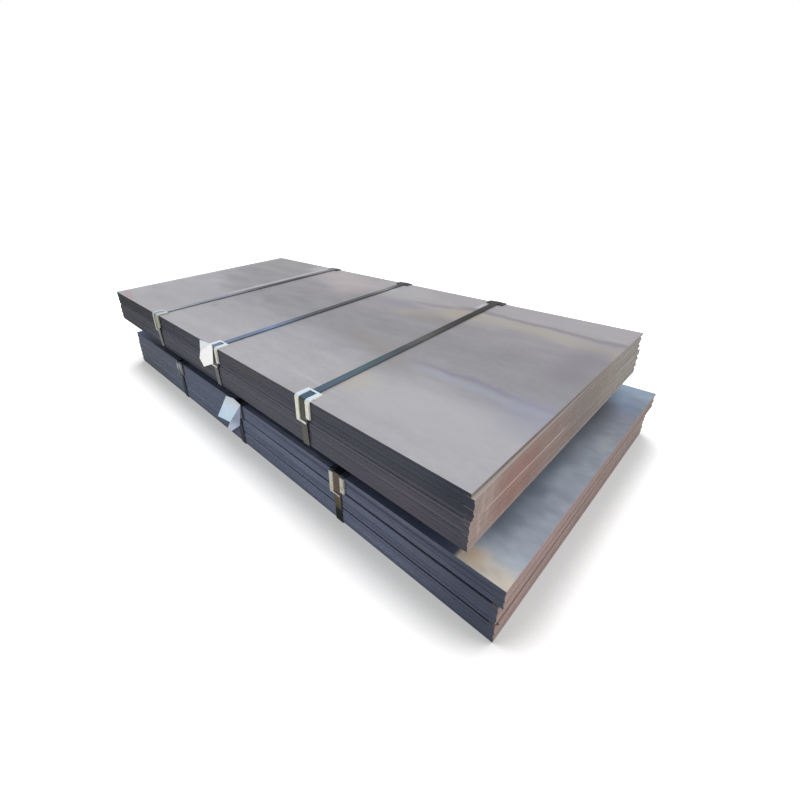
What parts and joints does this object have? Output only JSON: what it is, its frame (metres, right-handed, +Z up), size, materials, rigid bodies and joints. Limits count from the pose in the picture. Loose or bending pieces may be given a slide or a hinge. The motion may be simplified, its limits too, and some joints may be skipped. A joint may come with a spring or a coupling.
{
  "type": "strapped steel plate stack",
  "caption": "Stack of strapped hot-rolled steel plate packs, one on the other over timber bearers, with moulded edge guards under the straps and bare folded tags.",
  "frame": {"origin": "middle of the whole stack's footprint, on the floor that it lies on", "axes": "+X along the plates, +Y across them from the tagged long face to the sealed one, +Z up"},
  "size_m": [2.5976, 1.3212, 0.4794],
  "materials": {
    "plate": "hot-rolled steel with blue-grey mill scale, sheared edges lightly rusted",
    "strap": "blued and waxed steel strapping, dark slate blue",
    "guard": "cream moulded polyethylene, weathered",
    "back_guard": "folded strip steel, dark oxide",
    "timber": "rough-sawn softwood, weathered grey-brown",
    "paper": "bare folded card tag"
  },
  "bodies": {
    "root": {"lower_plate_01": "plate", "lower_plate_02": "plate", "lower_plate_03": "plate", "lower_plate_04": "plate", "lower_plate_05": "plate", "lower_plate_06": "plate", "lower_plate_07": "plate", "lower_plate_08": "plate", "lower_plate_09": "plate", "lower_plate_10": "plate", "lower_plate_11": "plate", "lower_plate_12": "plate", "lower_plate_13": "plate", "lower_plate_14": "plate", "lower_plate_15": "plate", "lower_plate_16": "plate", "lower_plate_17": "plate", "lower_plate_18": "plate", "lower_plate_19": "plate", "lower_plate_20": "plate", "lower_strap_1": "strap", "lower_front_guard_1": "guard", "lower_back_guard_1": "back_guard", "lower_strap_2": "strap", "lower_front_guard_2": "guard", "lower_back_guard_2": "back_guard", "lower_strap_3": "strap", "lower_front_guard_3": "guard", "lower_back_guard_3": "back_guard", "lower_tag": "paper", "upper_plate_01": "plate", "upper_plate_02": "plate", "upper_plate_03": "plate", "upper_plate_04": "plate", "upper_plate_05": "plate", "upper_plate_06": "plate", "upper_plate_07": "plate", "upper_plate_08": "plate", "upper_plate_09": "plate", "upper_plate_10": "plate", "upper_plate_11": "plate", "upper_plate_12": "plate", "upper_plate_13": "plate", "upper_plate_14": "plate", "upper_plate_15": "plate", "upper_plate_16": "plate", "upper_plate_17": "plate", "upper_strap_1": "strap", "upper_front_guard_1": "guard", "upper_back_guard_1": "back_guard", "upper_strap_2": "strap", "upper_front_guard_2": "guard", "upper_back_guard_2": "back_guard", "upper_strap_3": "strap", "upper_front_guard_3": "guard", "upper_back_guard_3": "back_guard", "upper_tag": "paper", "bearer_1": "timber", "bearer_2": "timber", "bearer_3": "timber"}
  },
  "joints": []
}
